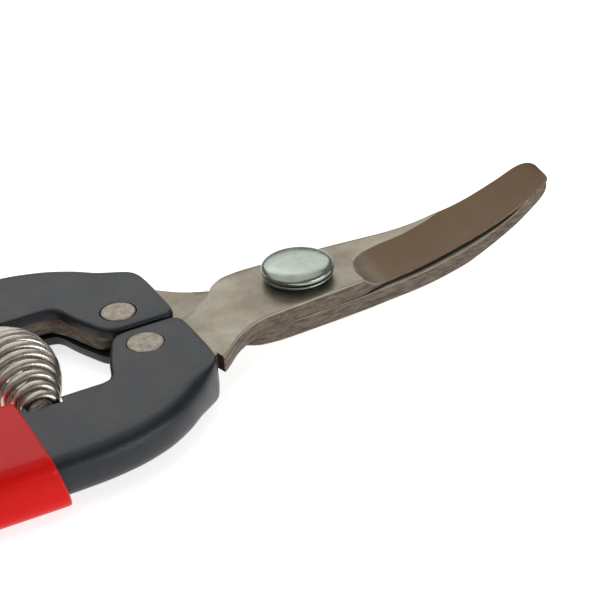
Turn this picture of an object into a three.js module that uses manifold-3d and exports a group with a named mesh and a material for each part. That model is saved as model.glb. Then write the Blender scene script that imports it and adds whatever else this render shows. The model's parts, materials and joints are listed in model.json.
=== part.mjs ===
// Bypass pruner with curved blades, black moulded handles and red sleeves.
// Millimetres, +Z up. The pivot axis is the Z axis, the tips point along +X, and the two plates
// meet at z = 0 until the last line sets the whole assembly on its base.
import * as THREE from 'three';
import { mergeVertices } from 'three/addons/utils/BufferGeometryUtils.js';
import Module from 'manifold-3d';

const wasm = await Module();
wasm.setup();

// ---------- driving dimensions ----------
const plateThickness = 2.5;
const plateGap = 0.3;                 // between the two plates
const clearance = 0.3;                // between a piece and the neighbour it touches
const tipReach = 43.1;                // from the pivot to the tips, along the blades
const tangEndX = -82;
const curlStartX = 15.5;              // the blades are flat up to here, then bend upwards
const curlRadius = 47;
const jogStart = 18.4;                // distances behind the pivot over which a tang steps to mid-height
const jogEnd = 22.2;
const grindStartX = 7.6;
const grindRunout = 3.6;
const edgeThickness = 0.45;

const handleHalfHeight = 3;
const handleFrontX = -19.1;
const handleBevel = 0.3;
const handleEndX = -122;
const slotHalfHeight = plateThickness / 2 + clearance;
const sleeveFrontX = -47.1;
const sleeveEndX = -112;
const sleeveWall = 0.8;

const shankRadius = 3;
const pivotHoleRadius = shankRadius + clearance;
const frontRivet = { x: -26.1, across: 4.85 };
const rearRivet = { x: -72, across: 16.2 };
const rivetShankRadius = 1.4;
const rivetHeadRadius = 2.5;

const springX = -43.45;
const springEndRadius = 2.45;
const springMiddleRadius = 6;
const springWire = 1.4;
const springSocketRadius = 3.05;
const springSeatDepth = 1.6;
const springSeatZ = { upper: 1.6, lower: 0.9 };
const seatHalfWidth = 3.7;

const catchPivot = { x: -117.5, across: 5.6 };
const catchReach = 17;
const catchWireRadius = 0.8;
const catchLegZ = handleHalfHeight + clearance + catchWireRadius;
const eyeletRadius = 1.9;
const eyeletBore = 1.15;

// The upper half's handle lies on the -Y side and the lower half's on the +Y side.
const upperSide = -1;
const lowerSide = 1;

// ---------- materials ----------
function finish(color, roughness, metalness) {
  return new THREE.MeshStandardMaterial({ color, roughness, metalness });
}
const plateSteel = finish('#a59f8e', 0.42, 0.9);
const zinc = finish('#b7bdb3', 0.3, 0.95);
const rivetSteel = finish('#aea397', 0.45, 0.9);
const springSteel = finish('#aba094', 0.3, 1);
const blackMoulding = finish('#50524f', 0.5, 0);
const redSleeve = finish('#d22a22', 0.35, 0);

// ---------- solids and meshes ----------
function toSolid(geometry) {
  const bare = geometry.clone();
  bare.deleteAttribute('normal');
  bare.deleteAttribute('uv');
  const merged = mergeVertices(bare, 1e-4);
  return new wasm.Manifold(new wasm.Mesh({
    numProp: 3,
    vertProperties: new Float32Array(merged.attributes.position.array),
    triVerts: new Uint32Array(merged.index.array),
  }));
}

function fromSolid(solid) {
  const mesh = solid.getMesh();
  const geometry = new THREE.BufferGeometry();
  geometry.setAttribute('position', new THREE.BufferAttribute(new Float32Array(mesh.vertProperties), 3));
  geometry.setIndex(new THREE.BufferAttribute(new Uint32Array(mesh.triVerts), 1));
  return geometry;
}

function cut(geometry, ...tools) {
  let solid = toSolid(geometry);
  for (const tool of tools) solid = solid.subtract(toSolid(tool));
  return fromSolid(solid);
}

function named(name, geometry, material) {
  const flat = geometry.index ? geometry.toNonIndexed() : geometry;
  flat.computeVertexNormals();
  const mesh = new THREE.Mesh(flat, material);
  mesh.name = name;
  return mesh;
}

// A round tool or piece standing along Z.
function uprightCylinder(radius, x, y, zLow, zHigh, sides = 24) {
  const cylinder = new THREE.CylinderGeometry(radius, radius, zHigh - zLow, sides);
  cylinder.rotateX(Math.PI / 2);
  cylinder.translate(x, y, (zLow + zHigh) / 2);
  return cylinder;
}

// A turned piece standing along Z: profile points are [radius, z].
function turned(profile, sides = 32) {
  const lathe = new THREE.LatheGeometry(profile.map(([radius, z]) => new THREE.Vector2(radius, z)), sides);
  lathe.rotateX(Math.PI / 2);
  return lathe;
}

function ring(inner, outer, zLow, zHigh, sides = 32) {
  return turned([[inner, zLow], [outer, zLow], [outer, zHigh], [inner, zHigh], [inner, zLow]], sides);
}

// An outline of [x, y] points, extruded between two heights, with its edges bevelled by `round`.
function slab(points, zLow, zHigh, round = 0) {
  const shape = new THREE.Shape(points.map(([x, y]) => new THREE.Vector2(x, y)));
  const geometry = new THREE.ExtrudeGeometry(shape, {
    depth: zHigh - zLow - 2 * round,
    bevelEnabled: round > 0,
    bevelThickness: round,
    bevelSize: round,
    bevelOffset: -round,
    bevelSegments: 2,
    steps: 1,
  });
  geometry.translate(0, 0, zLow + round);
  return geometry;
}

// ---------- outlines ----------
// A smooth function of x through [x, value] points in rising x, with no overshoot.
function smoothThrough(points) {
  const slopes = points.map((point, i) => {
    if (i === 0 || i === points.length - 1) return null;
    const before = (point[1] - points[i - 1][1]) / (point[0] - points[i - 1][0]);
    const after = (points[i + 1][1] - point[1]) / (points[i + 1][0] - point[0]);
    return before * after <= 0 ? 0 : 2 * before * after / (before + after);
  });
  const last = points.length - 1;
  slopes[0] = (points[1][1] - points[0][1]) / (points[1][0] - points[0][0]);
  slopes[last] = (points[last][1] - points[last - 1][1]) / (points[last][0] - points[last - 1][0]);
  return (x) => {
    const clamped = THREE.MathUtils.clamp(x, points[0][0], points[last][0]);
    let i = 0;
    while (i < last - 1 && clamped > points[i + 1][0]) i += 1;
    const width = points[i + 1][0] - points[i][0];
    const t = (clamped - points[i][0]) / width;
    const rise = points[i + 1][1] - points[i][1];
    const bend = slopes[i] * width - rise;
    const unbend = rise - slopes[i + 1] * width;
    return points[i][1] + rise * t + t * (1 - t) * (bend * (1 - t) + unbend * t);
  };
}

// Both plates share one outline. `across` runs from the cutting edge (negative) to the spine
// (positive); on the tang, both edges lie on the handle's side, which is negative.
const spineEdge = smoothThrough([
  [tangEndX, -10.8], [-64, -11.7], [-47.6, -11.6], [-47.4, -14.8], [-39.5, -14.8], [-39.3, -11.6],
  [-34.5, -11.4], [-32.8, -9.6], [-31.4, -6.4], [-29.6, -2.9], [-27, -2.3], [-21, -2], [-19.5, -1.4],
  [-18, -0.6], [-16.5, 0.2], [-14.9, 1.2], [-13.6, 2.3], [-12.8, 3.3], [-11.4, 4.9], [-9, 6.2],
  [-6, 6.5], [0, 6.3], [8, 5.8], [12, 5.4], [16.5, 4.95], [20, 4.6], [23.5, 4.3], [27, 4.05],
  [32, 3.75], [35, 3.5], [38, 3.05], [40.2, 2.7], [41.4, 2.3], [42, 1.9], [42.5, 1.4], [42.8, 0.9],
  [43, 0.3], [tipReach, -0.5],
]);
const cuttingEdge = smoothThrough([
  [tangEndX, -17.6], [-64, -20.9], [-46, -21.3], [-36, -20.8], [-31, -19], [-27, -16.6], [-22, -13.2],
  [-18.7, -12.2], [-18.4, -13.6], [-17.4, -12.8], [-14.5, -10.1], [-11.8, -8.5], [-9, -7.5], [-4, -7],
  [1, -6.6], [7, -6.1], [9.5, -5.4], [11.5, -4.9], [14.9, -4.4], [19.2, -3.8], [23.6, -3.35],
  [28, -3.27], [37, -3.4], [41.7, -3.4], [42.4, -3.15], [42.9, -2.7], [tipReach, -2],
]);
// Where the hollow grind starts, across the blade. Past about x = 28 it takes in the whole width.
const grindLimit = smoothThrough([
  [grindStartX, -2.5], [8.6, -0.9], [9.6, 0.2], [11.5, 1.25], [14.8, 2.05], [18.1, 2.4], [21.6, 2.9],
  [25, 3.4], [29, 4.3], [33, 5.4], [tipReach, 5.5],
]);
// The blades thin towards the tips.
const bladeThickness = smoothThrough([
  [26, plateThickness], [29, 2.2], [32, 2], [35, 1.9], [tipReach, 1.8],
]);

// The handle's inner and outer walls, as distances from the mid-plane between the two handles.
const innerWall = smoothThrough([
  [handleEndX, 2.2], [-116, 2.1], [-105, 3.8], [-90, 7], [-75, 9.5], [-60, 10.6], [-46, 10.8], [-35, 10.8],
]);
const outerWall = smoothThrough([
  [handleEndX, 7.6], [-120, 9.4], [-116, 10.7], [-105, 15.5], [-90, 20.8], [-75, 24], [-60, 25.4],
  [-46, 25.6], [-41, 25.5], [-36, 24.9], [-31, 23.4], [-27, 21.2], [-23.6, 18.4], [-21, 15.9],
  [-20, 14.7], [-19.5, 13.7], [handleFrontX, 12],
]);

// Evenly spaced values, both ends included.
function spread(from, to, count) {
  return Array.from({ length: count + 1 }, (_, i) => from + (to - from) * i / count);
}

// ---------- blades ----------
// A point of a blade that is `along` it from the pivot and `height` above the mating plane, as [x, z].
function curled(along, height) {
  if (along <= curlStartX) return [along, height];
  const angle = (along - curlStartX) / curlRadius;
  const radius = curlRadius - height;
  return [curlStartX + radius * Math.sin(angle), curlRadius - radius * Math.cos(angle)];
}

// How far a tang has stepped towards mid-height, behind the pivot.
function jogShift(x) {
  return (plateGap / 2 + plateThickness / 2) * THREE.MathUtils.smoothstep(-x, jogStart, jogEnd);
}

function plateHeight(x, across) {
  const thickness = bladeThickness(x);
  const limit = Math.min(grindLimit(x), spineEdge(x));
  if (x <= grindStartX || across >= limit) return thickness;
  const depth = Math.sin(Math.PI / 2 * Math.min((x - grindStartX) / grindRunout, 1));
  const edge = cuttingEdge(x);
  const share = THREE.MathUtils.clamp((across - edge) / (limit - edge), 0, 1);
  const ground = edgeThickness + (thickness - edgeThickness) * share ** 1.5;
  return thickness - depth * (thickness - ground);
}

// A plate is a loft along x. `side` is the handle's side, and so the cutting edge's side too.
function plate(side) {
  const upper = side === upperSide;
  const stations = [
    ...spread(tangEndX, -50, 5), -47.6, -47.4, -39.5, -39.3, -36, -34, -32.8, -31.4, -30.4, -29.6, -28, -25,
    -22.2, -21.4, -20.3, -19.2, -18.7, -18.4, -17.8, -17.2, -16.5, -15.6, -14.9, -14.2, -13.6, -13.2, -12.8, -12,
    -11.4, -10.2, -9, -7.5, -5, -2, 1, 4, 6, grindStartX, 8.3, 9.2, 10.2, grindStartX + grindRunout,
    ...spread(13, 40, 17), 41, 41.6, 42, 42.4, 42.7, 42.95, tipReach,
  ];
  const columns = 8;
  const positions = [];
  for (const x of stations) {
    const edge = cuttingEdge(x);
    const spine = spineEdge(x);
    const limit = THREE.MathUtils.clamp(x > grindStartX ? grindLimit(x) : (edge + spine) / 2, edge, spine);
    const acrossValues = [...spread(edge, limit, 5), ...spread(limit, spine, 2).slice(1)];
    const top = acrossValues.map((across) => [across, plateHeight(x, across)]);
    const bottom = acrossValues.map((across) => [across, 0]).reverse();
    for (const [across, height] of [...top, ...bottom]) {
      const offset = plateGap / 2 + height - jogShift(x);
      const [curledX, z] = curled(x, upper ? offset : -offset);
      positions.push(curledX, upper ? across : -across, z);
    }
  }
  const around = columns * 2;
  const faces = [];
  for (let s = 0; s < stations.length - 1; s += 1) {
    for (let k = 0; k < around; k += 1) {
      const a = s * around + k;
      const b = s * around + (k + 1) % around;
      faces.push(a, a + around, b, b, a + around, b + around);
    }
  }
  const capFrom = (stations.length - 1) * around;
  for (let k = 0; k < columns - 1; k += 1) {
    const partner = around - 1 - k;
    faces.push(k, k + 1, partner, k + 1, partner - 1, partner);
    faces.push(capFrom + k, capFrom + partner, capFrom + k + 1);
    faces.push(capFrom + k + 1, capFrom + partner, capFrom + partner - 1);
  }
  const geometry = new THREE.BufferGeometry();
  geometry.setAttribute('position', new THREE.Float32BufferAttribute(positions, 3));
  geometry.setIndex(faces);
  const holes = [
    uprightCylinder(pivotHoleRadius, 0, 0, -20, 20, 40),
    uprightCylinder(rivetShankRadius + clearance, frontRivet.x, side * frontRivet.across, -20, 20, 24),
    uprightCylinder(rivetShankRadius + clearance, rearRivet.x, side * rearRivet.across, -20, 20, 24),
  ];
  return cut(geometry, ...holes);
}

// ---------- handles and sleeves ----------
function handleOutline(side) {
  const rear = spread(-35, -120, 22);
  const inner = [
    [-19.6, 0.9], [-20.4, 0.45], [-27, 0.45], [-28.6, 0.7], [-29.9, 1.8], [-31.2, 4.4], [-32.3, 7],
    [-33.2, 9.6], [-33.9, 10.5],
    ...rear.map((x) => [x, innerWall(x)]),
  ];
  const end = [[-121.4, 2.9], [handleEndX, 4.4], [-121.8, 6.6]];
  const outer = [...rear.slice().reverse(), ...spread(-32, -20, 8), -19.5].map((x) => [x, outerWall(x)]);
  const front = [[handleFrontX, outerWall(handleFrontX)], [handleFrontX, 2]];
  const points = [...inner, ...end, ...outer, ...front].map(([x, across]) => [x, side * across]);
  return side === upperSide ? points : points.reverse();
}

// The slot that holds the tang is open to the front and to the inner side, apart from the block
// that the spring sits in.
function slotOutline(side) {
  const outerEdge = spread(tangEndX - 0.5, -jogEnd, 30).map((x) => [x, -cuttingEdge(x) + 0.5]);
  const behindSleeve = spread(-64, tangEndX - 0.5, 4).map((x) => [x, -spineEdge(x) - 0.6]);
  const innerEdge = [
    [-jogEnd, -3], [springX + seatHalfWidth, -3], [springX + seatHalfWidth, 14.2],
    [springX - seatHalfWidth, 14.2], [springX - seatHalfWidth, 9], ...behindSleeve,
  ];
  return [...outerEdge, ...innerEdge].map(([x, across]) => [x, side * across]);
}

// The slot's mouth follows the tang up or down as it steps away from mid-height.
function slotMouth(side) {
  const upward = -side;
  const stations = spread(-jogEnd - 1, -15, 12);
  const halfHeight = plateThickness / 2 + 0.2;
  const positions = [];
  for (const x of stations) {
    const middle = upward * (plateGap / 2 + plateThickness / 2 - jogShift(x));
    const outer = side * (0.5 - cuttingEdge(x));
    const inner = -3 * side;
    for (const [y, z] of [[outer, -halfHeight], [outer, halfHeight], [inner, halfHeight], [inner, -halfHeight]]) {
      positions.push(x, y, middle + z);
    }
  }
  const faces = [];
  for (let s = 0; s < stations.length - 1; s += 1) {
    for (let k = 0; k < 4; k += 1) {
      const a = s * 4 + k;
      const b = s * 4 + (k + 1) % 4;
      faces.push(a, a + 4, b, b, a + 4, b + 4);
    }
  }
  const last = (stations.length - 1) * 4;
  faces.push(0, 1, 2, 0, 2, 3, last, last + 2, last + 1, last, last + 3, last + 2);
  if (side === lowerSide) faces.reverse();
  const geometry = new THREE.BufferGeometry();
  geometry.setAttribute('position', new THREE.Float32BufferAttribute(positions, 3));
  geometry.setIndex(faces);
  return geometry;
}

function springSeat(side) {
  const seat = new THREE.CylinderGeometry(springSocketRadius, springSocketRadius, 8, 32);
  const z = side === upperSide ? springSeatZ.upper : springSeatZ.lower;
  seat.translate(springX, side * (innerWall(springX) + springSeatDepth - 4), z);
  return seat;
}

function handle(side) {
  const halfHeight = handleHalfHeight;
  const body = slab(handleOutline(side), -halfHeight, halfHeight, handleBevel);
  const slot = slab(slotOutline(side), -slotHalfHeight, slotHalfHeight);
  const tools = [slot, slotMouth(side), springSeat(side)];
  for (const rivet of [frontRivet, rearRivet]) {
    const y = side * rivet.across;
    tools.push(uprightCylinder(rivetShankRadius + clearance, rivet.x, y, -10, 10, 24));
    tools.push(uprightCylinder(rivetHeadRadius + clearance, rivet.x, y, 2, 10));
    tools.push(uprightCylinder(rivetHeadRadius + clearance, rivet.x, y, -10, -2));
  }
  const catchY = side * catchPivot.across;
  if (side === lowerSide) {
    tools.push(uprightCylinder(eyeletRadius + clearance, catchPivot.x, catchY, -10, 10, 24));
  } else {
    const latchedWireY = catchPivot.across - catchReach;
    tools.push(uprightCylinder(catchWireRadius + clearance, catchPivot.x, latchedWireY + 0.6, -10, 10, 24));
  }
  return cut(body, ...tools);
}

function sleeve(side) {
  const along = spread(sleeveFrontX, sleeveEndX, 16);
  const wallLine = (extra) => {
    const inner = along.map((x) => [x, side * (innerWall(x) - extra)]);
    const outer = along.slice().reverse().map((x) => [x, side * (outerWall(x) + extra)]);
    return [...inner, ...outer];
  };
  const body = slab(wallLine(clearance + sleeveWall), -handleHalfHeight - 1, handleHalfHeight + 1, 1.3);
  const reach = 3;
  const core = wallLine(clearance).flatMap(([x, y], i) => {
    const past = [x === sleeveFrontX ? x + reach : x - reach, y];
    if (x !== sleeveFrontX && x !== sleeveEndX) return [[x, y]];
    const leaving = i === along.length - 1 || i === 2 * along.length - 1;
    return leaving ? [[x, y], past] : [past, [x, y]];
  });
  const innerHeight = handleHalfHeight + clearance;
  return cut(body, slab(core, -innerHeight, innerHeight, handleBevel));
}

// ---------- fasteners ----------
function frontRivetPiece(side) {
  const rivet = turned([
    [0, -3.7], [2, -3.7], [2.2, -3.2], [rivetShankRadius, -3.2], [rivetShankRadius, 2.3],
    [rivetHeadRadius, 2.3], [rivetHeadRadius, 2.95], [2.2, 3.05], [0, 3.05],
  ], 32);
  rivet.translate(frontRivet.x, side * frontRivet.across, 0);
  return rivet;
}

function frontRivetWasher(side) {
  const washer = ring(rivetShankRadius + clearance, rivetHeadRadius, -2.9, -2.3, 32);
  washer.translate(frontRivet.x, side * frontRivet.across, 0);
  return washer;
}

function rearRivetPiece(side) {
  const rivet = turned([
    [0, -3.1], [1.9, -3.1], [2.1, -2.8], [rivetShankRadius, -2.8], [rivetShankRadius, 2.3],
    [rivetHeadRadius, 2.3], [rivetHeadRadius, 2.9], [0, 2.9],
  ], 32);
  rivet.translate(rearRivet.x, side * rearRivet.across, 0);
  return rivet;
}

function rearRivetWasher(side) {
  const washer = ring(rivetShankRadius + clearance, rivetHeadRadius, -2.6, -2.3, 32);
  washer.translate(rearRivet.x, side * rearRivet.across, 0);
  return washer;
}

// The bolt's tail is peened over a washer under the lower plate.
function pivotBolt() {
  return turned([
    [0, -4.15], [3.1, -4.15], [3.75, -3.9], [3.9, -3.65], [shankRadius, -3.65], [shankRadius, 3.95],
    [4.95, 3.95], [5.3, 4.2], [5.3, 4.7], [4.95, 5.02], [3.7, 5.25], [0, 5.38],
  ]);
}

// ---------- spring and catch ----------
function spring() {
  const reach = innerWall(springX) + springSeatDepth - clearance;
  const swell = springMiddleRadius - springEndRadius;
  const radiusAt = (t) => springEndRadius + swell * Math.abs(Math.sin(Math.PI * t)) ** 1.5;
  const outside = spread(0, 1, 10).map((t) => [radiusAt(t), reach * (2 * t - 1)]);
  const inside = spread(1, 0, 10).map((t) => [radiusAt(t) - springWire, reach * (2 * t - 1)]);
  const profile = [...outside, ...inside, outside[0]].map(([radius, y]) => new THREE.Vector2(radius, y));
  const barrel = new THREE.LatheGeometry(profile, 22);
  const tilt = Math.atan2(springSeatZ.lower - springSeatZ.upper, 2 * reach);
  barrel.rotateX(tilt);
  barrel.translate(springX, 0, (springSeatZ.upper + springSeatZ.lower) / 2);
  return barrel;
}

function catchWire() {
  const corner = 2;
  const stubEnd = 1.6;
  const corners = [[0, stubEnd], [0, catchLegZ], [-catchReach, catchLegZ], [-catchReach, -catchLegZ],
    [0, -catchLegZ], [0, -stubEnd]].map(([x, z]) => new THREE.Vector3(x, 0, z));
  const path = new THREE.CurvePath();
  let from = corners[0];
  for (let i = 1; i < corners.length - 1; i += 1) {
    const toLast = corners[i - 1].clone().sub(corners[i]);
    const toNext = corners[i + 1].clone().sub(corners[i]);
    const radius = Math.min(corner, 0.45 * toLast.length(), 0.45 * toNext.length());
    const before = corners[i].clone().add(toLast.setLength(radius));
    const after = corners[i].clone().add(toNext.setLength(radius));
    path.add(new THREE.LineCurve3(from, before));
    path.add(new THREE.QuadraticBezierCurve3(before, corners[i], after));
    from = after;
  }
  path.add(new THREE.LineCurve3(from, corners[corners.length - 1]));
  const section = new THREE.Shape();
  section.absarc(0, 0, catchWireRadius, 0, 2 * Math.PI);
  const wire = new THREE.ExtrudeGeometry(section, {
    extrudePath: path, steps: 44, curveSegments: 5, bevelEnabled: false,
  });
  wire.translate(catchPivot.x, catchPivot.across, 0);
  return wire;
}

function catchEyelet() {
  const eyelet = ring(eyeletBore, eyeletRadius, -2.8, 2.8, 28);
  eyelet.translate(catchPivot.x, catchPivot.across, 0);
  return eyelet;
}

// ---------- assembly ----------
const pruner = new THREE.Group();
pruner.name = 'bypass_pruner';
for (const [half, side] of [['upper', upperSide], ['lower', lowerSide]]) {
  pruner.add(named(`${half}_blade`, plate(side), plateSteel));
  pruner.add(named(`${half}_handle`, handle(side), blackMoulding));
  pruner.add(named(`${half}_sleeve`, sleeve(side), redSleeve));
  pruner.add(named(`${half}_front_rivet`, frontRivetPiece(side), rivetSteel));
  pruner.add(named(`${half}_front_rivet_washer`, frontRivetWasher(side), rivetSteel));
  pruner.add(named(`${half}_rear_rivet`, rearRivetPiece(side), rivetSteel));
  pruner.add(named(`${half}_rear_rivet_washer`, rearRivetWasher(side), rivetSteel));
}
const plateFace = plateGap / 2 + plateThickness;
pruner.add(named('pivot_bolt', pivotBolt(), zinc));
pruner.add(named('pivot_flat_washer', ring(pivotHoleRadius, 5.15, 3.3, 3.75), zinc));
pruner.add(named('pivot_spring_washer', ring(pivotHoleRadius, 4, plateFace + 0.2, 3.1), zinc));
pruner.add(named('pivot_tail_washer', ring(pivotHoleRadius, 4.2, -3.35, -plateFace - 0.3), zinc));
pruner.add(named('spring', spring(), springSteel));
pruner.add(named('catch_wire', catchWire(), rivetSteel));
pruner.add(named('catch_eyelet', catchEyelet(), rivetSteel));

const box = new THREE.Box3().setFromObject(pruner);
pruner.position.set(-(box.min.x + box.max.x) / 2, -(box.min.y + box.max.y) / 2, -box.min.z);

export default pruner;
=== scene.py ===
"""Looks for the bypass pruner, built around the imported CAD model.

Shapes are written in millimetres in the pruner's own axes: the pivot is the origin, +X runs towards
the tips, +Y towards the lower half's handle and +Z is up. place() turns them into the row frame.
Each blade and handle is described for a half whose handle lies at positive `out`; the upper half's
handle lies on the -Y side and the lower half's on the +Y side.
"""
import json
import math

import bmesh
import bpy
from mathutils import Matrix, Vector


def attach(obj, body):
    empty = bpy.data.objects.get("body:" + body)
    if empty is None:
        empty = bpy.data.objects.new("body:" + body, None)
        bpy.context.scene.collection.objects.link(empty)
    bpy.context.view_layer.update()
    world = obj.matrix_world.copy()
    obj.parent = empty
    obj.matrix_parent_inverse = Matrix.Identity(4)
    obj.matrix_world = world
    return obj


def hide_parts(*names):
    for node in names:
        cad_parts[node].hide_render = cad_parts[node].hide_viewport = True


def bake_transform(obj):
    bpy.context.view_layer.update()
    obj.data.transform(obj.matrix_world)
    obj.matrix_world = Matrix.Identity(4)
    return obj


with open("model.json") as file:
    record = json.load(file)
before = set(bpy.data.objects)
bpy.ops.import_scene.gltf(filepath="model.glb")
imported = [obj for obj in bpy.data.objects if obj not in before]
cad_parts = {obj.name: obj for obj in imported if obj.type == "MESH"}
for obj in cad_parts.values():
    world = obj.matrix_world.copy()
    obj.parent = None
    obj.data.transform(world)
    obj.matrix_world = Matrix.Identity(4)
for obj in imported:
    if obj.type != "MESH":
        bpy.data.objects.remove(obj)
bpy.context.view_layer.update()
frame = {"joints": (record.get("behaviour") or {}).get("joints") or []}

# ---------- driving dimensions (millimetres) ----------
# As in the CAD, apart from HANDLE_FRONT_X, which is 0.1 further forward, and SOCKET_R, which is 0.2
# smaller.
MM = 0.001
PLATE = 2.5
GAP = 0.3
CLEARANCE = 0.3
TIP_REACH = 43.1                  # from the pivot to the tips, along the blades
TANG_END_X = -82
CURL_START_X = 15.5
CURL_RADIUS = 47
JOG_START = 18.4
JOG_END = 22.2
GRIND_START_X = 7.6
GRIND_RUNOUT = 3.6
EDGE = 0.45

HANDLE_HALF = 3
HANDLE_FRONT_X = -19.0
HANDLE_END_X = -122
SLOT_HALF = PLATE / 2 + CLEARANCE
SLEEVE_FRONT_X = -47.1
SLEEVE_END_X = -112
SLEEVE_SIDE = 1.1
SLEEVE_TOP = 1.0
SLEEVE_INSIDE = 0.3

SHANK = 3
PIVOT_HOLE = SHANK + CLEARANCE
FRONT_RIVET = (-26.1, 4.85)
REAR_RIVET = (-72, 16.2)
RIVET_SHANK = 1.4
RIVET_HEAD = 2.5
RECESS_GAP = 0.18

SPRING_X = -43.45
SPRING_END_R = 2.45
SPRING_MIDDLE_R = 6
SPRING_WIRE = 1.4
SPRING_PITCH = 1.72
SEAT_DEPTH = 1.6
SEAT_Z = {"upper": 1.6, "lower": 0.9}
SEAT_HALF_WIDTH = 3.7
SOCKET_R = 2.85

CATCH_PIVOT = (-117.5, 5.6)
CATCH_REACH = 17
CATCH_WIRE = 0.8
CATCH_LEG_Z = HANDLE_HALF + CLEARANCE + CATCH_WIRE
EYELET = 1.9
EYELET_BORE = 1.15

THROUGH = 8                       # a height beyond both faces, for holes that go right through
PLATE_SOFTENING = 0.22            # how far a plate's edges are broken
WIRE_SIDES = 12
STEPS_PER_COIL = 44
FLOOR_HALF_WIDTH = 3.0            # metres
FLOOR_Z = -0.0002                 # metres, just under the pruner

HALVES = {"upper": -1, "lower": 1}

hinge = next(joint for joint in frame["joints"] if joint["name"] == "blade_pivot")
PIVOT = Vector(hinge["pos_m"])
scene = bpy.context.scene


def place(point):
    """A point of the pruner's own axes, in the row frame's metres."""
    return PIVOT + Vector(point) * MM


# ---------- small mathematics ----------
def smooth_through(points):
    """A smooth function of x through (x, value) points in rising x, with no overshoot."""
    pairs = list(zip(points, points[1:]))
    rises = [(b[1] - a[1]) / (b[0] - a[0]) for a, b in pairs]
    inner = [0 if a * b <= 0 else 2 * a * b / (a + b) for a, b in zip(rises, rises[1:])]
    slopes = [rises[0]] + inner + [rises[-1]]

    def value(x):
        x = min(max(x, points[0][0]), points[-1][0])
        i = 0
        while i < len(points) - 2 and x > points[i + 1][0]:
            i += 1
        width = points[i + 1][0] - points[i][0]
        t = (x - points[i][0]) / width
        rise = points[i + 1][1] - points[i][1]
        bend = slopes[i] * width - rise
        unbend = rise - slopes[i + 1] * width
        return points[i][1] + rise * t + t * (1 - t) * (bend * (1 - t) + unbend * t)

    return value


def spread(start, end, count):
    """Evenly spaced values, both ends included."""
    return [start + (end - start) * i / count for i in range(count + 1)]


def subdivide(stations, step):
    """The stations with evenly spaced ones between them, no further apart than step."""
    result = [stations[0]]
    for a, b in zip(stations, stations[1:]):
        count = max(1, math.ceil(abs(b - a) / step - 1e-6))
        result += spread(a, b, count)[1:]
    return result


def clamp(value, low=0.0, high=1.0):
    return min(max(value, low), high)


def smoothstep(value, low, high):
    t = clamp((value - low) / (high - low))
    return t * t * (3 - 2 * t)


# ---------- outlines ----------
# Both plates share one outline: `across` runs from the cutting edge (negative) to the spine.
spine_edge = smooth_through([
    (TANG_END_X, -10.8), (-64, -11.7), (-47.6, -11.6), (-47.4, -14.8), (-39.5, -14.8), (-39.3, -11.6),
    (-34.5, -11.4), (-32.8, -9.6), (-31.4, -6.4), (-29.6, -2.9), (-27, -2.3), (-21, -2), (-19.5, -1.4),
    (-18, -0.6), (-16.5, 0.2), (-14.9, 1.2), (-13.6, 2.3), (-12.8, 3.3), (-11.4, 4.9), (-9, 6.2),
    (-6, 6.5), (0, 6.3), (8, 5.8), (12, 5.4), (16.5, 4.95), (20, 4.6), (23.5, 4.3), (27, 4.05),
    (32, 3.75), (35, 3.5), (38, 3.05), (40.2, 2.7), (41.4, 2.3), (42, 1.9), (42.5, 1.4), (42.8, 0.9),
    (43, 0.3), (TIP_REACH, -0.5),
])
cutting_edge = smooth_through([
    (TANG_END_X, -17.6), (-64, -20.9), (-46, -21.3), (-36, -20.8), (-31, -19), (-27, -16.6),
    (-22, -13.2), (-18.7, -12.2), (-18.4, -13.6), (-17.4, -12.8), (-14.5, -10.1), (-11.8, -8.5),
    (-9, -7.5), (-4, -7), (1, -6.6), (7, -6.1), (9.5, -5.4), (11.5, -4.9), (14.9, -4.4), (19.2, -3.8),
    (23.6, -3.35), (28, -3.27), (37, -3.4), (41.7, -3.4), (42.4, -3.15), (42.9, -2.7), (TIP_REACH, -2),
])
grind_limit = smooth_through([
    (GRIND_START_X, -2.5), (8.6, -0.9), (9.6, 0.2), (11.5, 1.25), (14.8, 2.05), (18.1, 2.4),
    (21.6, 2.9), (25, 3.4), (29, 4.3), (33, 5.4), (TIP_REACH, 5.5),
])
blade_thickness = smooth_through([(26, PLATE), (29, 2.2), (32, 2), (35, 1.9), (TIP_REACH, 1.8)])
# The handle's inner and outer walls, as distances out from the mid-plane between the handles.
handle_inner = smooth_through([
    (HANDLE_END_X, 4.4), (-121.8, 3.4), (-121.2, 2.8), (-120, 2.3), (-116, 2.1), (-105, 3.8), (-90, 7),
    (-75, 9.5), (-60, 10.6), (-46, 10.8), (-35, 10.8), (-33.9, 10.5), (-33.2, 9.6), (-32.3, 7),
    (-31.2, 4.4), (-29.9, 1.8), (-28.6, 0.7), (-27, 0.4), (-20.6, 0.4), (-19.8, 0.7), (-19.2, 1.4),
    (HANDLE_FRONT_X, 2.2),
])
handle_outer = smooth_through([
    (HANDLE_END_X, 5.6), (-121.8, 6.8), (-121.2, 7.9), (-120, 9.2), (-116, 10.7), (-105, 15.5),
    (-90, 20.8), (-75, 24), (-60, 25.4), (-46, 25.6), (-41, 25.5), (-36, 24.9), (-31, 23.4), (-27, 21.2),
    (-23.6, 18.4), (-21, 15.9), (-20, 14.8), (-19.5, 13.9), (-19.2, 12.9), (HANDLE_FRONT_X, 11.4),
])
inner_wall = smooth_through([
    (HANDLE_END_X, 2.2), (-116, 2.1), (-105, 3.8), (-90, 7), (-75, 9.5), (-60, 10.6), (-46, 10.8),
    (-35, 10.8),
])


# ---------- materials ----------
def srgb(red, green, blue):
    """Display values from 0 to 255, as a linear colour."""
    def linear(value):
        value /= 255
        return value / 12.92 if value <= 0.04045 else ((value + 0.055) / 1.055) ** 2.4
    return (linear(red), linear(green), linear(blue), 1.0)


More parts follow.
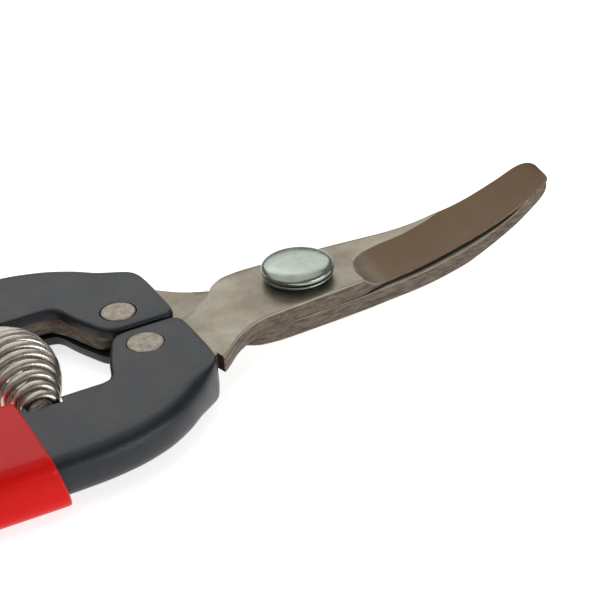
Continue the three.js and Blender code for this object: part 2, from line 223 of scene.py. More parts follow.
class Shading:
    """One Principled material and the procedural nodes that feed it."""

    def __init__(self, name, **sockets):
        self.material = bpy.data.materials.new(name)
        self.material.use_nodes = True
        self.tree = self.material.node_tree
        self.shader = self.tree.nodes["Principled BSDF"]
        self.coordinates = self.tree.nodes.new("ShaderNodeTexCoord").outputs["Object"]
        for socket, value in sockets.items():
            self.shader.inputs[socket.replace("_", " ")].default_value = value

    def link(self, output, node, socket):
        self.tree.links.new(output, node.inputs[socket])

    def grain(self, size, detail=3.0, roughness=0.55, stretch=(1, 1, 1)):
        """Noise whose features are about `size` millimetres, longer where stretch is above 1."""
        mapping = self.tree.nodes.new("ShaderNodeMapping")
        mapping.inputs["Scale"].default_value = [1 / (size * MM * s) for s in stretch]
        self.link(self.coordinates, mapping, "Vector")
        texture = self.tree.nodes.new("ShaderNodeTexNoise")
        texture.inputs["Scale"].default_value = 1.0
        texture.inputs["Detail"].default_value = detail
        texture.inputs["Roughness"].default_value = roughness
        self.link(mapping.outputs["Vector"], texture, "Vector")
        return texture.outputs["Fac"]

    def attribute(self, name):
        node = self.tree.nodes.new("ShaderNodeAttribute")
        node.attribute_name = name
        return node.outputs["Fac"]

    def between(self, factor, low, high, dark, light):
        """A number from dark to light as factor goes from low to high."""
        node = self.tree.nodes.new("ShaderNodeMapRange")
        for socket, value in (("From Min", low), ("From Max", high), ("To Min", dark), ("To Max", light)):
            node.inputs[socket].default_value = value
        self.link(factor, node, "Value")
        return node.outputs["Result"]

    def mix(self, factor, first, second):
        """Two colours, or a node's colour and a colour, mixed by factor."""
        node = self.tree.nodes.new("ShaderNodeMix")
        node.data_type = "RGBA"
        self.link(factor, node, "Factor")
        for socket, colour in ((6, first), (7, second)):
            if isinstance(colour, tuple):
                node.inputs[socket].default_value = colour
            else:
                self.tree.links.new(colour, node.inputs[socket])
        return node.outputs[2]

    def colour(self, output):
        self.link(output, self.shader, "Base Color")

    def rough(self, output):
        self.link(output, self.shader, "Roughness")

    def bump(self, height, millimetres, strength=1.0):
        node = self.tree.nodes.new("ShaderNodeBump")
        node.inputs["Strength"].default_value = strength
        node.inputs["Distance"].default_value = millimetres * MM
        self.link(height, node, "Height")
        previous = self.shader.inputs["Normal"].links
        if previous:
            self.link(previous[0].from_socket, node, "Normal")
        self.link(node.outputs["Normal"], self.shader, "Normal")


def plate_steel():
    """Tumbled tool steel with a warm grey cast; the hollow grind is a duller, rougher finish whose dark
    brown is a painted reflection of dark surroundings.
    """
    look = Shading("plate_steel_satin")
    cloud = look.between(look.grain(7, 4, 0.6), 0.32, 0.68, 0, 1)
    fine = look.grain(0.4, 3, 0.6)
    scratch = look.grain(0.35, 3, 0.6, (1, 6, 6))
    face = look.mix(cloud, srgb(133, 124, 108), srgb(164, 157, 141))
    # painted reflection: the grind's dark brown stands in for the dark surroundings the hollow reflects
    brown = look.mix(cloud, srgb(119, 94, 70), srgb(126, 101, 76))
    ground = look.attribute("grind")
    look.colour(look.mix(ground, face, brown))
    look.link(look.between(ground, 0, 1, 0.85, 0.25), look.shader, "Metallic")
    look.rough(look.mix(ground, look.between(fine, 0.3, 0.7, 0.36, 0.5), (0.62, 0.62, 0.62, 1)))
    look.bump(fine, 0.016, 0.5)
    look.bump(scratch, 0.008, 0.5)
    return look.material


def sheared_and_shaded_steel():
    """The plates' narrow edge walls, torn and streaked along their length; their dark tone is partly the
    sheared steel's own and partly painted shade for walls facing sideways.
    """
    look = Shading("plate_edge_sheared_and_shaded", Metallic=0.75)
    streak = look.grain(0.7, 4, 0.65, (3.2, 3.2, 0.6))
    pit = look.grain(0.25, 2, 0.5, (1.6, 1.6, 1))
    # painted shade: these dark base tones are partly the shade on the sideways-facing walls; the streaks and
    # pits are the sheared edge's own marks
    base = look.mix(look.between(streak, 0.36, 0.62, 0, 1), srgb(84, 73, 63), srgb(114, 102, 89))
    look.colour(look.mix(look.between(pit, 0.6, 0.72, 0, 0.6), base, srgb(40, 32, 26)))
    look.rough(look.between(streak, 0.3, 0.7, 0.62, 0.44))
    look.bump(streak, 0.06, 0.7)
    look.bump(pit, 0.05, 0.6)
    return look.material


def black_moulding():
    """Near-black nylon with a faint moulded grain and a soft sheen."""
    look = Shading("handle_black_nylon", IOR=1.45, Specular_IOR_Level=0.42)
    cloud = look.grain(6, 4, 0.6)
    fine = look.grain(0.3, 3, 0.6)
    look.colour(look.mix(look.between(cloud, 0.3, 0.7, 0, 1), srgb(22, 26, 29), srgb(33, 37, 41)))
    look.rough(look.between(cloud, 0.3, 0.7, 0.3, 0.4))
    look.bump(fine, 0.06, 0.8)
    look.bump(look.grain(2.2, 2), 0.03, 0.4)
    return look.material


def red_vinyl():
    """Dipped red vinyl with a soft gloss."""
    look = Shading("sleeve_red_vinyl", IOR=1.4, Specular_IOR_Level=0.14)
    cloud = look.grain(12, 2)
    look.colour(look.mix(look.between(cloud, 0.3, 0.7, 0, 1), srgb(204, 18, 14), srgb(214, 24, 18)))
    look.rough(look.between(cloud, 0.3, 0.7, 0.22, 0.3))
    look.bump(look.grain(2.4, 2), 0.06, 0.4)
    return look.material


def zinc_plate():
    """Bright zinc with a cool green-grey cast and soft wear."""
    look = Shading("bright_zinc", Metallic=0.95)
    cloud = look.grain(1.6, 4)
    look.colour(look.mix(look.between(cloud, 0.35, 0.65, 0, 1), srgb(141, 149, 139), srgb(153, 159, 149)))
    look.rough(look.between(cloud, 0.3, 0.7, 0.17, 0.25))
    look.bump(look.grain(1.8, 2), 0.02, 0.5)
    return look.material


def rivet_steel():
    """Set rivets: dull warm steel with a fine speckle."""
    look = Shading("rivet_dull_steel", Metallic=0.8)
    cloud = look.grain(0.9, 4, 0.65)
    fine = look.grain(0.22, 2)
    base = look.mix(look.between(cloud, 0.35, 0.65, 0, 1), srgb(146, 135, 122), srgb(172, 162, 149))
    look.colour(look.mix(look.between(fine, 0.6, 0.75, 0, 0.5), base, srgb(96, 86, 76)))
    look.rough(look.between(cloud, 0.3, 0.7, 0.6, 0.46))
    look.bump(cloud, 0.03, 0.5)
    look.bump(fine, 0.012, 0.5)
    return look.material


def spring_wire():
    """Drawn spring wire with a bright, slightly streaked skin."""
    look = Shading("drawn_spring_wire", Metallic=0.95)
    streak = look.grain(0.6, 3, 0.6, (2.5, 0.6, 2.5))
    look.colour(look.mix(look.between(streak, 0.35, 0.65, 0, 1), srgb(172, 163, 150), srgb(204, 197, 185)))
    look.rough(look.between(streak, 0.3, 0.7, 0.22, 0.34))
    look.bump(streak, 0.02, 0.4)
    return look.material


PLATE_FACE = plate_steel()
PLATE_WALL = sheared_and_shaded_steel()
BLACK = black_moulding()
RED = red_vinyl()
ZINC = zinc_plate()
RIVET = rivet_steel()
WIRE = spring_wire()


# ---------- mesh tools ----------
def finish_shading(obj, sharp_degrees):
    mesh = obj.data
    work = bmesh.new()
    work.from_mesh(mesh)
    bmesh.ops.recalc_face_normals(work, faces=work.faces)
    work.to_mesh(mesh)
    work.free()
    mesh.shade_smooth()
    mesh.set_sharp_from_angle(angle=math.radians(sharp_degrees))


def mesh_object(name, points, faces, materials, slots=None, attributes=None, sharp=34):
    mesh = bpy.data.meshes.new(name)
    mesh.from_pydata([place(point) for point in points], [], faces)
    for material in materials:
        mesh.materials.append(material)
    if slots:
        mesh.polygons.foreach_set("material_index", slots)
    for key, values in (attributes or {}).items():
        mesh.attributes.new(key, "FLOAT", "POINT").data.foreach_set("value", values)
    obj = bpy.data.objects.new(name, mesh)
    scene.collection.objects.link(obj)
    finish_shading(obj, sharp)
    return obj


def loft(rings, close_ends=True):
    """Faces that join closed rings of equal length, with a cap on each end ring."""
    around = len(rings[0])
    faces = []
    for r in range(len(rings) - 1):
        for k in range(around):
            a = r * around + k
            b = r * around + (k + 1) % around
            faces.append((a, a + around, b + around, b))
    if close_ends:
        faces.append(tuple(range(around)))
        last = (len(rings) - 1) * around
        faces.append(tuple(last + k for k in reversed(range(around))))
    return [point for ring in rings for point in ring], faces


def turned(name, profile, at, materials, sides=72, sharp=34):
    """A piece turned about an upright axis; profile is (radius, z) from axis to axis, or a closed loop."""
    closed = profile[0] == profile[-1]
    rows = profile[:-1] if closed else profile
    points = []
    rings = []
    for radius, z in rows:
        count = 1 if radius < 1e-6 else sides
        rings.append(range(len(points), len(points) + count))
        for k in range(count):
            angle = 2 * math.pi * k / sides
            points.append((at[0] + radius * math.cos(angle), at[1] + radius * math.sin(angle), z))
    faces = []
    pairs = list(zip(rings, rings[1:])) + ([(rings[-1], rings[0])] if closed else [])
    for low, high in pairs:
        for k in range(sides):
            below = [low[k % len(low)], low[(k + 1) % len(low)]]
            above = [high[(k + 1) % len(high)], high[k % len(high)]]
            faces.append(tuple(dict.fromkeys(below + above)))
    return mesh_object(name, points, faces, materials, sharp=sharp)


def apply_modifiers(obj):
    depsgraph = bpy.context.evaluated_depsgraph_get()
    done = bpy.data.meshes.new_from_object(
        obj.evaluated_get(depsgraph), preserve_all_data_layers=True, depsgraph=depsgraph)
    obj.modifiers.clear()
    obj.data = done


def cut(obj, tools, sharp=34):
    """Takes the tools' solids out of obj."""
    for tool in tools:
        modifier = obj.modifiers.new("cut", "BOOLEAN")
        modifier.operation = "DIFFERENCE"
        modifier.solver = "EXACT"
        modifier.object = tool
        apply_modifiers(obj)
        bpy.data.objects.remove(tool)
    finish_shading(obj, sharp)


def rod(radius, x, y, low, high, sides=48):
    """A round cutting tool standing along Z."""
    return turned("tool", [(0, low), (radius, low), (radius, high), (0, high)], (x, y), [BLACK], sides)


def stand_for(piece, node, body):
    """The piece replaces a CAD node and moves with its body."""
    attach(piece, body)
    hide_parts(node)
    return piece


# ---------- blades ----------
def curled(along, height):
    """A point of a blade, `along` it from the pivot and `height` above the mating plane, as (x, z)."""
    if along <= CURL_START_X:
        return along, height
    angle = (along - CURL_START_X) / CURL_RADIUS
    radius = CURL_RADIUS - height
    return CURL_START_X + radius * math.sin(angle), CURL_RADIUS - radius * math.cos(angle)


def jog_shift(x):
    """How far a tang has stepped towards mid-height behind the pivot."""
    return (GAP / 2 + PLATE / 2) * smoothstep(-x, JOG_START, JOG_END)


def plate_height(x, across):
    thickness = blade_thickness(x)
    limit = min(grind_limit(x), spine_edge(x))
    if x <= GRIND_START_X or across >= limit:
        return thickness
    depth = math.sin(math.pi / 2 * min((x - GRIND_START_X) / GRIND_RUNOUT, 1))
    edge = cutting_edge(x)
    share = clamp((across - edge) / (limit - edge))
    ground = EDGE + (thickness - EDGE) * share ** 1.5
    return thickness - depth * (thickness - ground)


def ground_share(x, across):
    """1 on the ground hollow, which carries a painted dark reflection, 0 on the plate's face, soft where the
    hollow runs out.
    """
    if x <= GRIND_START_X or across >= grind_limit(x) - 0.02:
        return 0.0
    return smoothstep(x, GRIND_START_X + 0.4, GRIND_START_X + 1.5 * GRIND_RUNOUT)


def plate_section(x):
    """The plate's closed section at x as (across, height above the mating face, wall mark)."""
    edge = cutting_edge(x)
    spine = spine_edge(x)
    width = spine - edge
    limit = clamp(grind_limit(x) if x > GRIND_START_X else (edge + spine) / 2, edge, spine)
    at_edge = plate_height(x, edge)
    at_spine = plate_height(x, spine)
    soft_edge = min(PLATE_SOFTENING, 0.3 * at_edge, 0.2 * width)
    soft_spine = min(PLATE_SOFTENING, 0.3 * at_spine, 0.2 * width)
    low_soft = min(0.07, 0.2 * at_edge, 0.2 * width)
    start = edge + soft_edge
    stop = spine - soft_spine
    turn = clamp(limit, start + 0.1 * width, stop - 0.02 * width)
    ground_side = [start + (turn - start) * s for s in spread(0, 1, 16)]
    ground_side.insert(-1, turn - min(0.05, 0.2 * (ground_side[-1] - ground_side[-2])))
    flat_side = [turn + (stop - turn) * s for s in spread(0, 1, 6)[1:]]
    face = [(a, plate_height(x, a), 0) for a in ground_side + flat_side]
    over_spine = [
        (spine - 0.3 * soft_spine, at_spine - 0.3 * soft_spine, 0),
        (spine, at_spine - soft_spine, 1),
    ]
    wall = [(spine, at_spine * s, 1) for s in (0.7, 0.5, 0.3)]
    under_spine = [
        (spine, low_soft, 1),
        (spine - 0.3 * low_soft, 0.3 * low_soft, 0),
        (spine - low_soft, 0, 0),
    ]
    under_run = edge - spine + 2 * low_soft
    under = [(spine - low_soft + under_run * s, 0, 0) for s in spread(0, 1, 8)[1:-1]]
    under_edge = [(edge + low_soft, 0, 0), (edge + 0.3 * low_soft, 0.3 * low_soft, 1), (edge, low_soft, 1)]
    edge_wall = [(edge, at_edge * s, 1) for s in (0.35, 0.5, 0.62)]
    over_edge = [(edge, at_edge - soft_edge, 1), (edge + 0.3 * soft_edge, at_edge - 0.3 * soft_edge, 0)]
    return face + over_spine + wall + under_spine + under + under_edge + edge_wall + over_edge


def plate_stations():
    coarse = [-48, -47.6, -47.4, -39.5, -39.3, -34.5, -32.8, -31.4, -29.6, -27, -22.2, -21, -19.5,
              -18.7, -18.4, -17.4, -16.5, -14.9, -13.6, -12.8, -11.4, -9, -5, 1, GRIND_START_X, 8.6,
              9.6, GRIND_START_X + GRIND_RUNOUT, 13, 38, 40.2, 41.2]
    tip = [41.35, 41.5, 41.65, 41.8, 41.95, 42.1, 42.25, 42.38, 42.5, 42.6, 42.7, 42.8, 42.87,
           42.94, 43, 43.05, TIP_REACH]
    return subdivide([TANG_END_X, -48], 3)[:-1] + subdivide(coarse, 0.35) + tip


def make_plate(half):
    side = HALVES[half]
    direction = -side
    rings = []
    marks = []
    ground = []
    for x in plate_stations():
        ring = []
        for across, height, wall in plate_section(x):
            curled_x, z = curled(x, direction * (GAP / 2 + height - jog_shift(x)))
            ring.append((curled_x, across * direction, z))
            marks.append(wall)
            # the grind share also masks where the hollow's painted dark reflection goes
            ground.append(ground_share(x, across) if height > EDGE * 0.5 else 0.0)
        rings.append(ring)
    points, faces = loft(rings)
    slots = [1 if all(marks[i] for i in face[:4]) else 0 for face in faces]
    slots[-1] = slots[-2] = 1
    materials = [PLATE_FACE, PLATE_WALL]
    plate = mesh_object(f"{half}_blade_plate", points, faces, materials, slots, {"grind": ground})
    cut(plate, [
        rod(PIVOT_HOLE, 0, 0, -THROUGH, THROUGH, 64),
        rod(RIVET_SHANK + CLEARANCE, FRONT_RIVET[0], side * FRONT_RIVET[1], -THROUGH, THROUGH),
        rod(RIVET_SHANK + CLEARANCE, REAR_RIVET[0], side * REAR_RIVET[1], -THROUGH, THROUGH),
    ], 26)
    return stand_for(plate, f"{half}_blade", f"{half}_half")


# ---------- handles ----------
def slope_stretch(line, x):
    """How much wider a wall's rounding looks in a section square to X."""
    slope = (line(x + 0.2) - line(x - 0.2)) / 0.4
    return math.sqrt(1 + slope ** 2)


def handle_section(x, grow_side=0.0, grow_top=0.0, crisp=0.55, shrink=0.0):
    """The handle's closed section at x as (out, z): a crisp inner wall and a rounded outer side.

    The outer side is squarer, with tighter edges, in the few millimetres behind the front face.
    """
    inner = handle_inner(x) - grow_side + shrink
    outer = handle_outer(x) + grow_side - shrink
    top = HANDLE_HALF + grow_top - shrink
    width = outer - inner
    front = 1 - smoothstep(HANDLE_FRONT_X - x, 0.5, 6)
    round_width = min((2.5 - 2.0 * front) * slope_stretch(handle_outer, x), 0.55 * width)
    squareness = 2 / (2.3 + 0.7 * front)
    corner_x = min(crisp * min(slope_stretch(handle_inner, x), 3), 0.3 * width)
    corner_z = crisp
    section = []
    for s in spread(0, 1, 8):
        section.append((inner + corner_x + (outer - round_width - inner - corner_x) * s, top))
    for angle in spread(90, -90, 18)[1:]:
        c = max(math.cos(math.radians(angle)), 0) ** squareness
        z = abs(math.sin(math.radians(angle))) ** squareness * (1 if angle > 0 else -1)
        section.append((outer - round_width + round_width * c, top * z))
    for s in spread(1, 0, 8)[1:]:
        section.append((inner + corner_x + (outer - round_width - inner - corner_x) * s, -top))
    for angle in spread(270, 180, 4)[1:]:
        section.append((inner + corner_x + corner_x * math.cos(math.radians(angle)),
                        -top + corner_z + corner_z * math.sin(math.radians(angle))))
    for s in spread(-1, 1, 6)[1:-1]:
        section.append((inner, s * (top - corner_z)))
    for angle in spread(180, 90, 4)[:-1]:
        section.append((inner + corner_x + corner_x * math.cos(math.radians(angle)),
                        top - corner_z + corner_z * math.sin(math.radians(angle))))
    return section


def end_inset(distance, radius):
    """How far a rounded end draws in at a distance from the end face."""
    return radius - math.sqrt(max(radius ** 2 - (radius - min(distance, radius)) ** 2, 0))


def handle_stations():
    front = [HANDLE_FRONT_X - d for d in (0, 0.05, 0.12, 0.22, 0.34, 0.5, 0.8)]
    middle = subdivide([HANDLE_FRONT_X - 0.8, -28, -34.4, -52], 0.45)[1:]
    fine = subdivide([-28.3, -34.2], 0.16)
    rear = subdivide([-52, -112], 1.6)[1:] + subdivide([-112, -120.4], 0.5)[1:]
    end = [HANDLE_END_X + d for d in (1.2, 0.9, 0.6, 0.4, 0.22, 0.1, 0.03, 0)]
    together = front + [x for x in middle if not -34.2 < x < -28.3] + fine + rear + end
    return sorted(set(round(x, 4) for x in together), reverse=True)


def make_handle(half):
    side = HALVES[half]
    rings = []
    for x in handle_stations():
        shrink = end_inset(HANDLE_FRONT_X - x, 0.5) + end_inset(x - HANDLE_END_X, 1.2)
        rings.append([(x, side * out, z) for out, z in handle_section(x, shrink=shrink)])
    points, faces = loft(rings)
    handle = mesh_object(f"{half}_handle_grip", points, faces, [BLACK])
    cut(handle, handle_tools(half), 32)
    return stand_for(handle, f"{half}_handle", f"{half}_half")


def slot_tool(side):
    """The channel that holds the tang, open to the front and to the inner side."""
    outer_line = [(x, 0.5 - cutting_edge(x)) for x in spread(TANG_END_X - 0.5, -JOG_END, 60)]
    behind = [(x, -spine_edge(x) - 0.6) for x in spread(-64, TANG_END_X - 0.5, 6)]
    seat_front = SPRING_X + SEAT_HALF_WIDTH
    seat_rear = SPRING_X - SEAT_HALF_WIDTH
    inner_line = [(-JOG_END, -3), (seat_front, -3), (seat_front, 14.2), (seat_rear, 14.2), (seat_rear, 9)]
    outline = [(x, side * out) for x, out in outer_line + inner_line + behind]
    rings = [[(x, y, z) for x, y in outline] for z in (-SLOT_HALF, SLOT_HALF)]
    points, faces = loft(rings)
    return mesh_object("tool", points, faces, [BLACK])


def slot_mouth_tool(side):
    """The slot's mouth, which follows the tang up or down as it steps away from mid-height."""
    half_height = PLATE / 2 + 0.12
    rings = []
    for x in spread(-JOG_END - 1, -15, 40):
        middle = -side * (GAP / 2 + PLATE / 2 - jog_shift(x))
        outer = side * (0.5 - cutting_edge(x))
        inner = -3 * side
        rings.append([(x, outer, middle - half_height), (x, outer, middle + half_height),
                      (x, inner, middle + half_height), (x, inner, middle - half_height)])
    points, faces = loft(rings)
    return mesh_object("tool", points, faces, [BLACK])


def socket_tool(half):
    """The round pocket for the spring's end, lying along Y."""
    side = HALVES[half]
    bottom = inner_wall(SPRING_X) + SEAT_DEPTH
    profile = [(0, bottom), (SOCKET_R, bottom), (SOCKET_R, bottom - 8), (0, bottom - 8)]
    tool = turned("tool", profile, (0, 0), [BLACK], 64)
    turn = Matrix.Translation(place((SPRING_X, 0, SEAT_Z[half])))
    turn = turn @ Matrix.Rotation(math.radians(-90 * side), 4, "X") @ Matrix.Translation(-PIVOT)
    tool.data.transform(turn)
    return tool


def handle_tools(half):
    side = HALVES[half]
    tools = [slot_tool(side), slot_mouth_tool(side), socket_tool(half)]
    for x, out in (FRONT_RIVET, REAR_RIVET):
        tools.append(rod(RIVET_SHANK + CLEARANCE, x, side * out, -THROUGH, THROUGH))
        tools.append(rod(RIVET_HEAD + RECESS_GAP, x, side * out, 2, THROUGH, 64))
        tools.append(rod(RIVET_HEAD + CLEARANCE, x, side * out, -THROUGH, -2, 64))
    if half == "lower":
        tools.append(rod(EYELET + 0.1, CATCH_PIVOT[0], CATCH_PIVOT[1], -THROUGH, THROUGH, 64))
    else:
        y = -(CATCH_PIVOT[1] - CATCH_REACH + 0.6)
        tools.append(rod(CATCH_WIRE + CLEARANCE, CATCH_PIVOT[0], y, -THROUGH, THROUGH))
    return tools


def make_sleeve(half):
    """A dipped sleeve: outer skin, rounded lips, and an inner skin just clear of the handle."""
    side = HALVES[half]
    length = SLEEVE_FRONT_X - SLEEVE_END_X
    thickness = SLEEVE_TOP - SLEEVE_INSIDE

    def ring(distance, depth):
        """The section at a distance from the front lip, sunk by depth into the skin."""
        share = distance / length
        grow_side = SLEEVE_SIDE - depth * (SLEEVE_SIDE - SLEEVE_INSIDE)
        grow_top = SLEEVE_TOP - depth * thickness
        base = SLEEVE_FRONT_X - distance
        section = handle_section(base, grow_side, grow_top, 1.3 - 0.6 * depth)
        low = handle_inner(base)
        high = handle_outer(base)
        points = []
        for out, z in section:
            downward = 0.5 - 0.5 * z / HANDLE_HALF
            lean = 1.4 * downward * (1 - share) ** 3 * smoothstep(out, low + 0.45 * (high - low), high)
            points.append((base + lean, side * out, z))
        return points

    outside = [0.0, 0.06, 0.16, 0.3, 0.5, 0.8] + subdivide([1.2, length - 1.2], 1.1)
    outside += [length - d for d in (0.8, 0.5, 0.3, 0.16, 0.06, 0)]
    rings = []
    for distance in outside:
        end = min(distance, length - distance)
        rings.append(ring(distance, end_inset(end, 0.5)))
    for distance in reversed(outside):
        end = min(distance, length - distance)
        rings.append(ring(distance, 1 - end_inset(end, 0.5)))
    points, faces = loft(rings, close_ends=False)
    around = len(rings[0])
    last = (len(rings) - 1) * around
    for k in range(around):
        n = (k + 1) % around
        faces.append((last + k, k, n, last + n))
    sleeve = mesh_object(f"{half}_red_sleeve", points, faces, [RED], sharp=50)
    return stand_for(sleeve, f"{half}_sleeve", f"{half}_half")


# ---------- fasteners ----------
def make_rivets(half):
    side = HALVES[half]
    body = f"{half}_half"
    at = (FRONT_RIVET[0], side * FRONT_RIVET[1])
    head = RIVET_HEAD + (0.08 if half == "upper" else -0.02)
    front = turned(f"{half}_rivet_head", [
        (0, -3.7), (1.7, -3.68), (2.05, -3.55), (2.2, -3.35), (2.12, -3.2), (RIVET_SHANK, -3.2),
        (RIVET_SHANK, 2.3), (head - 0.1, 2.3), (head, 2.42), (head, 2.98), (head - 0.05, 3.06),
        (head - 0.15, 3.1), (1.9, 3.11), (1.0, 3.12), (0, 3.12),
    ], at, [RIVET], 80, 40)
    stand_for(front, f"{half}_front_rivet", body)
    washer = turned(f"{half}_setting_washer", [
        (1.7, -2.9), (2.4, -2.9), (2.5, -2.82), (2.5, -2.38), (2.42, -2.3), (1.7, -2.3), (1.7, -2.9),
    ], at, [RIVET], 64, 40)
    stand_for(washer, f"{half}_front_rivet_washer", body)
    at = (REAR_RIVET[0], side * REAR_RIVET[1])
    rear = turned(f"{half}_hidden_rivet", [
        (0, -3.1), (1.7, -3.08), (2, -2.98), (2.1, -2.8), (RIVET_SHANK, -2.8), (RIVET_SHANK, 2.3),
        (RIVET_HEAD, 2.3), (RIVET_HEAD, 2.7), (2.3, 2.9), (0, 2.9),
    ], at, [RIVET], 48, 40)
    stand_for(rear, f"{half}_rear_rivet", body)
    hidden = turned(f"{half}_hidden_washer", [
        (1.7, -2.6), (2.4, -2.6), (2.5, -2.54), (2.5, -2.36), (2.42, -2.3), (1.7, -2.3), (1.7, -2.6),
    ], at, [RIVET], 48, 40)
    stand_for(hidden, f"{half}_rear_rivet_washer", body)


def make_pivot():
    body = "lower_half"
    origin = (0, 0)
    bolt = turned("pivot_bolt_turned", [
        (0, -4.15), (2.4, -4.13), (3.1, -4.05), (3.6, -3.92), (3.84, -3.78), (3.88, -3.68), (3.8, -3.65),
        (SHANK, -3.65), (SHANK, 3.95), (4.95, 3.95), (5.15, 4.0),
        (5.27, 4.1), (5.3, 4.24), (5.3, 4.42), (5.26, 4.58), (5.16, 4.73), (5.0, 4.87), (4.78, 4.99),
        (4.45, 5.09), (4.0, 5.18), (3.3, 5.26), (2.4, 5.32), (1.3, 5.36), (0, 5.38),
    ], origin, [ZINC], 96, 50)
    stand_for(bolt, "pivot_bolt", body)
    flat = turned("pivot_flat_washer_pressed", [
        (PIVOT_HOLE, 3.3), (4.98, 3.3), (5.11, 3.36), (5.15, 3.46), (5.15, 3.6), (5.1, 3.71), (4.98, 3.75),
        (PIVOT_HOLE, 3.75), (PIVOT_HOLE, 3.3),
    ], origin, [ZINC], 96, 50)
    stand_for(flat, "pivot_flat_washer", body)
    curved = turned("pivot_spring_washer_pressed", [
        (PIVOT_HOLE, 2.85), (3.9, 2.85), (4.0, 2.92), (4.0, 3.04), (3.9, 3.1), (PIVOT_HOLE, 3.1),
        (PIVOT_HOLE, 2.85),
    ], origin, [ZINC], 72, 50)
    stand_for(curved, "pivot_spring_washer", body)
    tail = turned("pivot_tail_washer_pressed", [
        (PIVOT_HOLE, -3.35), (4.1, -3.35), (4.2, -3.28), (4.2, -3.02), (4.1, -2.95), (PIVOT_HOLE, -2.95),
        (PIVOT_HOLE, -3.35),
    ], origin, [ZINC], 72, 50)
    stand_for(tail, "pivot_tail_washer", body)


# ---------- wire pieces ----------
def tube(path, radius, sides):
    """Rings of points round a path of Vectors, kept untwisted."""
    rings = []
    normal = None
    for i, point in enumerate(path):
        before = path[max(i - 1, 0)]
        after = path[min(i + 1, len(path) - 1)]
        along = (after - before).normalized()
        if normal is None:
            normal = along.orthogonal().normalized()
        normal = (normal - normal.dot(along) * along).normalized()
        other = along.cross(normal)
        size = radius if isinstance(radius, (int, float)) else radius[i]
        rings.append([
            tuple(point + (normal * math.cos(a) + other * math.sin(a)) * size)
            for a in (2 * math.pi * k / sides for k in range(sides))
        ])
    return loft(rings)


def make_spring():
    reach = inner_wall(SPRING_X) + SEAT_DEPTH - CLEARANCE
    wire_radius = SPRING_WIRE / 2
    travel = 2 * (reach - wire_radius)
    turns = travel / SPRING_PITCH
    steps = int(turns * STEPS_PER_COIL)
    middle_z = (SEAT_Z["upper"] + SEAT_Z["lower"]) / 2
    tilt = (SEAT_Z["lower"] - SEAT_Z["upper"]) / (2 * reach)
    path = []
    for i in range(steps + 1):
        t = i / steps
        swell = abs(math.sin(math.pi * t)) ** 1.5
        barrel = SPRING_END_R + (SPRING_MIDDLE_R - SPRING_END_R) * swell - wire_radius
        angle = 2 * math.pi * turns * t + math.radians(200)
        y = -travel / 2 + travel * t
        z = middle_z + tilt * y + barrel * math.sin(angle)
        path.append(Vector((SPRING_X + barrel * math.cos(angle), y, z)))
    radii = [wire_radius * min(1, 0.8 + 0.1 * min(i, steps - i)) for i in range(steps + 1)]
    points, faces = tube(path, radii, WIRE_SIDES)
    spring = mesh_object("barrel_spring_wire", points, faces, [WIRE], sharp=60)
    start = place((SPRING_X, reach, SEAT_Z["lower"]))
    end = place((SPRING_X, -reach, SEAT_Z["upper"]))
    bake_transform(spring)
    keep_wire_round(path, start, end)
    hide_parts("spring")


def keep_wire_round(path, start, end):
    """Works out, for each section of the wire, a weight that eases from 0 at the start seat to 1 at the end
    seat; the weights are not used.
    """
    run = end - start
    weights = []
    for centre in path:
        t = clamp((place(centre) - start).dot(run) / run.length_squared)
        weights += [t * t * (3 - 2 * t)] * WIRE_SIDES


def rounded_path(corners, radius, step):
    """Points along straight runs between corners, with each bend rounded."""
    path = [corners[0]]
    for before, corner, after in zip(corners, corners[1:], corners[2:]):
        back = before - corner
        ahead = after - corner
        bend = min(radius, 0.45 * back.length, 0.45 * ahead.length)
        first = corner + back.normalized() * bend
        second = corner + ahead.normalized() * bend
        run = first - path[-1]
        count = max(1, round(run.length / step))
        start = path[-1]
        path += [start + run * s for s in spread(0, 1, count)[1:]]
        for s in spread(0, 1, 8)[1:]:
            path.append(first * (1 - s) ** 2 + corner * 2 * s * (1 - s) + second * s ** 2)
    start = path[-1]
    run = corners[-1] - start
    path += [start + run * s for s in spread(0, 1, max(1, round(run.length / step)))[1:]]
    return path


def make_catch():
    pivot = Vector((CATCH_PIVOT[0], CATCH_PIVOT[1], 0))
    corners = [(0, 1.6), (0, CATCH_LEG_Z), (-CATCH_REACH, CATCH_LEG_Z), (-CATCH_REACH, -CATCH_LEG_Z),
               (0, -CATCH_LEG_Z), (0, -1.6)]
    path = rounded_path([pivot + Vector((x, 0, z)) for x, z in corners], 2, 0.5)
    points, faces = tube(path, CATCH_WIRE, 20)
    wire = mesh_object("catch_wire_loop", points, faces, [WIRE], sharp=60)
    stand_for(wire, "catch_wire", "catch")
    eyelet = turned("catch_eyelet_tube", [
        (EYELET_BORE, -2.7), (1.25, -2.8), (1.8, -2.8), (EYELET, -2.72), (EYELET, 2.72), (1.8, 2.8),
        (1.25, 2.8), (EYELET_BORE, 2.7), (EYELET_BORE, -2.7),
    ], CATCH_PIVOT, [RIVET], 48, 50)
    stand_for(eyelet, "catch_eyelet", "lower_half")


for half in HALVES:
    make_plate(half)
    make_handle(half)
    make_sleeve(half)
    make_rivets(half)
make_pivot()
make_spring()
make_catch()


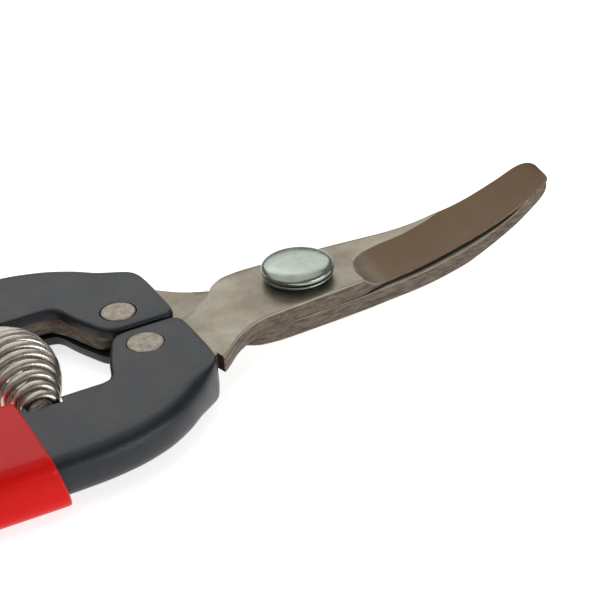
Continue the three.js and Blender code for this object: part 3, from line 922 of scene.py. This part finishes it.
# ---------- stage ----------
def make_floor():
    mesh = bpy.data.meshes.new("floor")
    corners = [(x * FLOOR_HALF_WIDTH, y * FLOOR_HALF_WIDTH) for x, y in ((-1, -1), (1, -1), (1, 1), (-1, 1))]
    mesh.from_pydata([(x, y, FLOOR_Z) for x, y in corners], [], [(0, 1, 2, 3)])
    floor = bpy.data.objects.new("floor", mesh)
    look = Shading("pale_floor", Roughness=0.9)
    cloud = look.grain(120, 2)
    look.colour(look.mix(cloud, srgb(246, 246, 246), srgb(250, 250, 250)))
    look.shader.inputs["Specular IOR Level"].default_value = 0.1
    look.shader.inputs["Emission Color"].default_value = (1, 1, 1, 1)
    look.shader.inputs["Emission Strength"].default_value = 0.74
    mesh.materials.append(look.material)
    scene.collection.objects.link(floor)


def make_light(name, at, aim, size, watts, colour=(1, 1, 1)):
    data = bpy.data.lights.new(name, "AREA")
    data.shape = "RECTANGLE"
    data.size, data.size_y = size
    data.energy = watts
    data.color = colour
    light = bpy.data.objects.new(name, data)
    light.location = at
    light.rotation_euler = (Vector(aim) - Vector(at)).to_track_quat("-Z", "Y").to_euler()
    scene.collection.objects.link(light)


def make_world():
    world = bpy.data.worlds.new("studio")
    world.use_nodes = True
    background = world.node_tree.nodes["Background"]
    background.inputs["Color"].default_value = (0.96, 0.98, 1.0, 1)
    background.inputs["Strength"].default_value = 0.25
    scene.world = world


# The camera's place, fitted so that the pruner sits in the frame as photographed.
CAMERA_AZIMUTH = -25.6
CAMERA_ELEVATION = 30.5
CAMERA_ROLL = 4
CAMERA_DISTANCE = 261
FOCAL_SHARE = 3.0                 # focal length as a share of the frame's width
PIVOT_IN_FRAME = (-0.0015, 0.01233)    # the pivot's place, right and up from the frame's centre


def make_camera():
    azimuth = math.radians(CAMERA_AZIMUTH)
    elevation = math.radians(CAMERA_ELEVATION)
    roll = math.radians(CAMERA_ROLL)
    back = Vector((math.sin(azimuth) * math.cos(elevation), -math.cos(azimuth) * math.cos(elevation),
                   math.sin(elevation)))
    level = (-back).cross(Vector((0, 0, 1))).normalized()
    upright = level.cross(-back)
    right = math.cos(roll) * level - math.sin(roll) * upright
    up = math.sin(roll) * level + math.cos(roll) * upright
    shift = right * (PIVOT_IN_FRAME[0] / FOCAL_SHARE) + up * (PIVOT_IN_FRAME[1] / FOCAL_SHARE)
    position = PIVOT + (back - shift) * CAMERA_DISTANCE * MM
    data = bpy.data.cameras.new("camera")
    data.sensor_width = 36
    data.lens = 36 * FOCAL_SHARE
    data.clip_start = 0.01
    camera = bpy.data.objects.new("camera", data)
    turn = Matrix((right, up, back)).transposed().to_4x4()
    camera.matrix_world = Matrix.Translation(position) @ turn
    scene.collection.objects.link(camera)
    scene.camera = camera


make_floor()
make_world()
make_light("overhead", (-0.1, 0.2, 0.8), (0, 0, 0), (1.5, 1.2), 4.2)
make_light("behind", (0.35, 0.8, 0.55), (0, 0, 0), (0.8, 0.45), 1.6)
make_light("front", (0.5, -0.65, 0.2), (0, 0, 0), (0.7, 0.1), 2.2, (0.9, 0.94, 1))
make_camera()
scene.view_settings.view_transform = "Standard"
